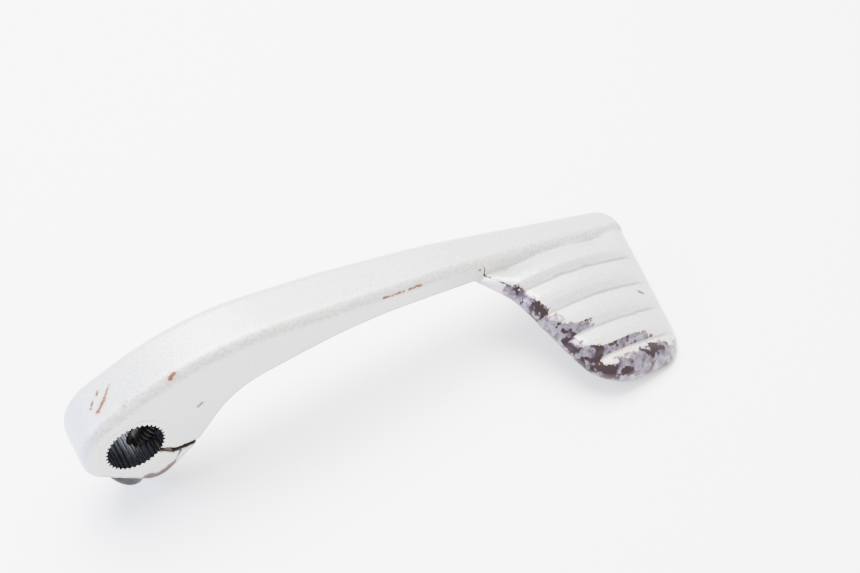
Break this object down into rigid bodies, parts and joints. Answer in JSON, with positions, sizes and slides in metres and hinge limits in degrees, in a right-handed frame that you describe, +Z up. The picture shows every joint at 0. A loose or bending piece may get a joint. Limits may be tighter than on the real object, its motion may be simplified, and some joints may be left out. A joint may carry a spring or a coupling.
{
  "type": "motorcycle gear shift lever",
  "caption": "Arched foot lever with a split, splined clamp boss and pinch bolt at one end and a ribbed toe pad folded out at the other.",
  "frame": {"origin": "centre of the splined shaft bore on the outer face of the clamp boss", "axes": "+X along the arm from the bore to the toe pad, +Y along the shaft into the engine, so the toe pad stands out towards -Y, +Z up"},
  "size_m": [0.1439, 0.0485, 0.0365],
  "materials": {
    "lever_paint": "worn silver metallic paint over steel, chipped to brown and lilac-grey metal along the toe pad, with rust specks by the clamp",
    "spring_steel": "dull grey spring steel",
    "bolt_steel": "dark, smooth, blackened steel with a brown cast"
  },
  "bodies": {
    "lever": {"shift_lever": "lever_paint"},
    "washer": {"lock_washer": "spring_steel"},
    "bolt": {"pinch_bolt": "bolt_steel"}
  },
  "joints": [
    {"name": "bolt_travel", "type": "slide", "parent": "lever", "child": "washer", "axis": [-0.6947, 0, -0.7193], "range_m": [0, 0.008]},
    {"name": "bolt_turn", "type": "hinge", "parent": "washer", "child": "bolt", "pos_m": [-0.00024, 0.007, -0.01061], "axis": [-0.6947, 0, -0.7193], "range_deg": [0, 2900]}
  ],
  "couplings": [
    {"joint": "bolt_turn", "follows": "bolt_travel", "rad_per_m": 6283.2}
  ]
}
